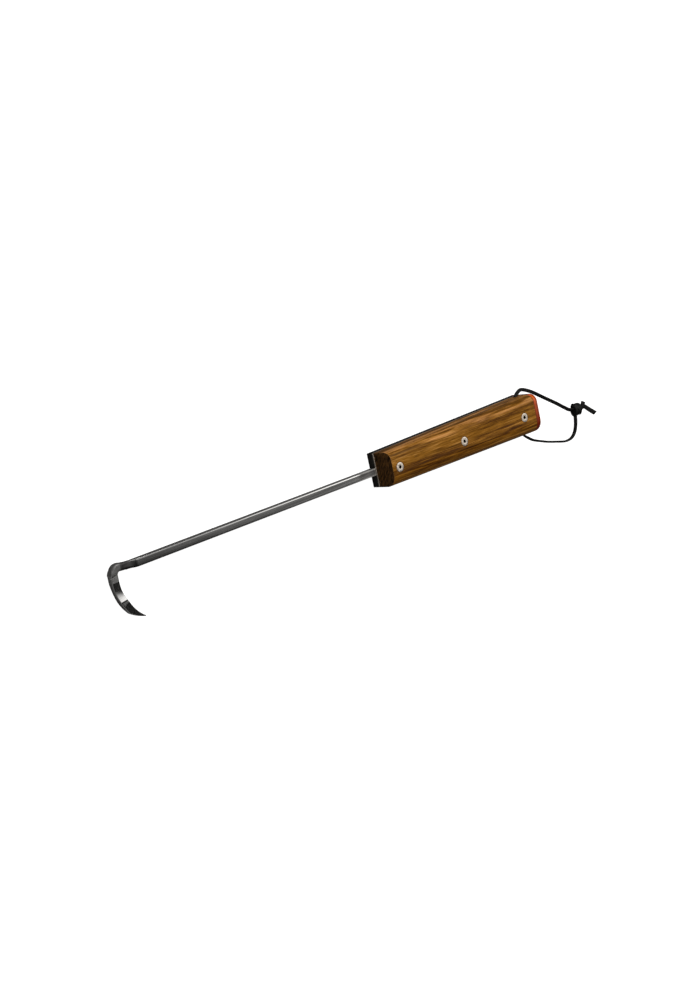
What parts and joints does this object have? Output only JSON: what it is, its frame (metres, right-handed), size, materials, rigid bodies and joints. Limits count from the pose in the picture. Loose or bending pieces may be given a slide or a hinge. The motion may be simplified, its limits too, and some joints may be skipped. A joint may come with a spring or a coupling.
{
  "type": "long-handled hook tool",
  "caption": "Square steel rod with a forged, pointed claw, a flat-backed wooden grip with flush screws and an end cap, and a knotted hanging lace.",
  "frame": {"origin": "in the plane of the grip's flat back, under the rod's centre line, at the grip's front end", "axes": "+X along the rod from the claw to the butt, +Y to the grip's upper edge (the claw points to -Y), +Z out of the grip's front face"},
  "size_m": [0.5015, 0.0587, 0.0241],
  "materials": {
    "rod_steel": "brushed along the rod, polished on the claw",
    "liner_metal": "satin",
    "wood": "oiled, straight grain along the grip",
    "back_black": "matt black",
    "screw_metal": "satin, turned faces",
    "nut_metal": "satin",
    "cap_orange": "semi-gloss",
    "lace": "black, slightly worn edges"
  },
  "bodies": {
    "tool": {"hook_rod": "rod_steel", "liner_plate": "liner_metal", "front_scale": "wood", "back_plate": "back_black", "grip_screw_front": "screw_metal", "grip_screw_middle": "screw_metal", "grip_screw_rear": "screw_metal", "barrel_nut_front": "nut_metal", "barrel_nut_middle": "nut_metal", "barrel_nut_rear": "nut_metal", "end_cap": "cap_orange", "cap_screw_upper": "nut_metal", "cap_screw_lower": "nut_metal"},
    "lace_loop": {"lace_inner": "lace"},
    "lace_end": {"lace_outer_upper": "lace", "lace_outer_lower": "lace", "lace_knot": "lace", "lace_tail_long": "lace", "lace_tail_short": "lace"}
  },
  "joints": [
    {"name": "lace_swing", "type": "hinge", "parent": "tool", "child": "lace_loop", "pos_m": [0.1613, 0, 0.0106], "axis": [0, -1, 0], "range_deg": [-110, 110]},
    {"name": "lace_fold", "type": "hinge", "parent": "lace_loop", "child": "lace_end", "pos_m": [0.1963, 0, 0.0106], "axis": [0, -1, 0], "range_deg": [-60, 60]}
  ]
}
